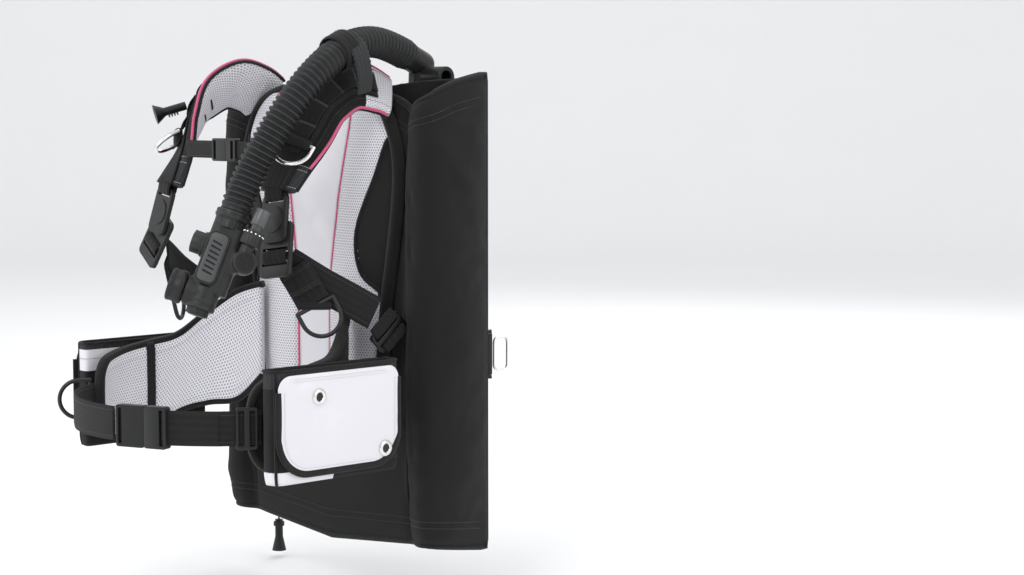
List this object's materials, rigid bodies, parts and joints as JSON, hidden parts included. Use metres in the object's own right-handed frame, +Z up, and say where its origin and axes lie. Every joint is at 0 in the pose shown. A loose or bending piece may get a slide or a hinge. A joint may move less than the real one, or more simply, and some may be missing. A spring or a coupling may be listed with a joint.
{
  "type": "buoyancy compensator vest",
  "caption": "Back-mounted buoyancy compensator vest with padded harness, air cell, tank band, corrugated inflator hose, waist belt, side pockets and D-rings.",
  "frame": {"origin": "on the tank's axis at the tank band's mid-height", "axes": "+X to the wearer's left, +Y rearward from the wearer's back towards the tank, +Z up along the tank"},
  "size_m": [0.405, 0.5353, 0.6617],
  "materials": {
    "mesh_white": "air mesh",
    "fabric_white": "matte",
    "fabric_black": "plain weave",
    "webbing": "woven webbing",
    "cord": "braided",
    "bladder": "satin",
    "hose_rubber": "satin",
    "mouth_rubber": "satin",
    "plastic_black": "moulded, fine grain",
    "plastic_grey": "moulded, fine grain",
    "metal_bright": "polished",
    "steel": "satin",
    "metal_dark": "satin",
    "metal_black": "satin"
  },
  "bodies": {
    "vest": {"air_cell": "bladder", "back_pad": "mesh_white", "backplate": "plastic_black", "backplate_bolts": "steel", "belt_buckle_socket": "plastic_black", "belt_left": "webbing", "belt_right": "webbing", "belt_slider": "plastic_black", "button_springs": "steel", "cam_buckle": "plastic_black", "cam_pin": "steel", "carry_handle": "webbing", "chest_buckle_socket": "plastic_black", "chest_strap_left": "webbing", "chest_strap_right": "webbing", "corrugated_hose": "hose_rubber", "elbow_valve": "plastic_black", "hose_connector": "plastic_grey", "hose_elbow": "plastic_black", "hose_keeper": "webbing", "inflator_body": "plastic_black", "inflator_grip": "plastic_grey", "lower_dump_valve": "plastic_black", "lower_strap_left": "webbing", "lower_strap_right": "webbing", "mouthpiece": "mouth_rubber", "pocket_left": "fabric_black", "pocket_right": "fabric_black", "shoulder_pad_left": "mesh_white", "shoulder_pad_right": "mesh_white", "shoulder_webbing_left": "webbing", "shoulder_webbing_right": "webbing", "side_ladder_left": "plastic_black", "side_ladder_right": "plastic_black", "swivel_plate_left": "plastic_grey", "swivel_plate_right": "plastic_grey", "tank_band": "webbing", "waistband_left": "mesh_white", "waistband_right": "mesh_white", "wing_shell": "fabric_black"},
    "cam_lever": {"cam_lever": "plastic_black"},
    "belt_clip": {"belt_buckle_clip": "plastic_black"},
    "chest_clip": {"chest_buckle_clip": "plastic_black"},
    "waist_ring": {"waist_ring": "metal_black"},
    "flap_left": {"pocket_flap_left": "fabric_white", "grommets_left": "metal_bright"},
    "flap_right": {"pocket_flap_right": "fabric_white", "grommets_right": "metal_bright"},
    "shoulder_ring_left": {"shoulder_ring_left": "metal_bright"},
    "shoulder_ring_right": {"shoulder_ring_right": "metal_bright"},
    "lower_ring_left": {"lower_ring_left": "metal_black"},
    "lower_ring_right": {"lower_ring_right": "metal_black"},
    "swivel_ladder_left": {"swivel_ladder_left": "plastic_black"},
    "swivel_ladder_right": {"swivel_ladder_right": "plastic_black"},
    "inflate_button": {"inflate_button": "plastic_black"},
    "deflate_button": {"deflate_button": "plastic_black"},
    "connector_collar": {"connector_collar": "metal_dark"},
    "lower_pull": {"lower_pull_knob": "plastic_black", "pull_cord": "cord"},
    "shoulder_pull": {"shoulder_pull_knob": "plastic_black"}
  },
  "joints": [
    {"name": "inflate_press", "type": "slide", "parent": "vest", "child": "inflate_button", "axis": [0.6416, 0.689, -0.3371], "range_m": [0, 0.003], "stiffness_N_per_m": 600},
    {"name": "deflate_press", "type": "slide", "parent": "vest", "child": "deflate_button", "axis": [0.058, 0.3947, 0.917], "range_m": [0, 0.003], "stiffness_N_per_m": 600},
    {"name": "collar_pull", "type": "slide", "parent": "vest", "child": "connector_collar", "axis": [0.1028, 0.4419, 0.8911], "range_m": [0, 0.004], "stiffness_N_per_m": 400},
    {"name": "lower_pull_slide", "type": "slide", "parent": "vest", "child": "lower_pull", "axis": [0, 0, -1], "range_m": [0, 0.015], "stiffness_N_per_m": 300},
    {"name": "shoulder_pull_slide", "type": "slide", "parent": "vest", "child": "shoulder_pull", "axis": [-0.4533, -0.8451, -0.2834], "range_m": [0, 0.015], "stiffness_N_per_m": 300},
    {"name": "belt_clip_slide", "type": "slide", "parent": "vest", "child": "belt_clip", "axis": [0.9291, 0.3699, 0], "range_m": [0, 0.036]},
    {"name": "chest_clip_slide", "type": "slide", "parent": "vest", "child": "chest_clip", "axis": [1, 0, 0], "range_m": [0, 0.016]},
    {"name": "cam_lever_hinge", "type": "hinge", "parent": "vest", "child": "cam_lever", "pos_m": [0.0811, 0.07176, 0], "axis": [0, 0, -1], "range_deg": [0, 100]},
    {"name": "flap_left_hinge", "type": "hinge", "parent": "vest", "child": "flap_left", "pos_m": [0.19925, -0.172, 0.02], "axis": [0, -1, 0], "range_deg": [0, 100]},
    {"name": "flap_right_hinge", "type": "hinge", "parent": "vest", "child": "flap_right", "pos_m": [-0.19925, -0.172, 0.02], "axis": [0, 1, 0], "range_deg": [0, 100]},
    {"name": "waist_ring_hinge", "type": "hinge", "parent": "vest", "child": "waist_ring", "pos_m": [-0.15955, -0.34614, -0.04], "axis": [0, 0, -1], "range_deg": [-25, 40]},
    {"name": "shoulder_ring_left_hinge", "type": "hinge", "parent": "vest", "child": "shoulder_ring_left", "pos_m": [0.11404, -0.24882, 0.26739], "axis": [-0.7798, -0.5053, 0.3695], "range_deg": [0, 18]},
    {"name": "shoulder_ring_right_hinge", "type": "hinge", "parent": "vest", "child": "shoulder_ring_right", "pos_m": [-0.11404, -0.24882, 0.26739], "axis": [-0.7798, 0.5053, -0.3695], "range_deg": [-28, 55]},
    {"name": "lower_ring_left_hinge", "type": "hinge", "parent": "vest", "child": "lower_ring_left", "pos_m": [0.13438, -0.23963, 0.08406], "axis": [-0.608, -0.6397, -0.4703], "range_deg": [-12, 60]},
    {"name": "lower_ring_right_hinge", "type": "hinge", "parent": "vest", "child": "lower_ring_right", "pos_m": [-0.13438, -0.23963, 0.08406], "axis": [-0.608, 0.6397, 0.4703], "range_deg": [-12, 60]},
    {"name": "swivel_left_hinge", "type": "hinge", "parent": "vest", "child": "swivel_ladder_left", "pos_m": [0.11244, -0.2765, 0.16605], "axis": [0.0991, -0.9711, 0.2172], "range_deg": [-30, 30]},
    {"name": "swivel_right_hinge", "type": "hinge", "parent": "vest", "child": "swivel_ladder_right", "pos_m": [-0.11244, -0.2765, 0.16605], "axis": [-0.0991, -0.9711, 0.2172], "range_deg": [-10, 50]}
  ]
}
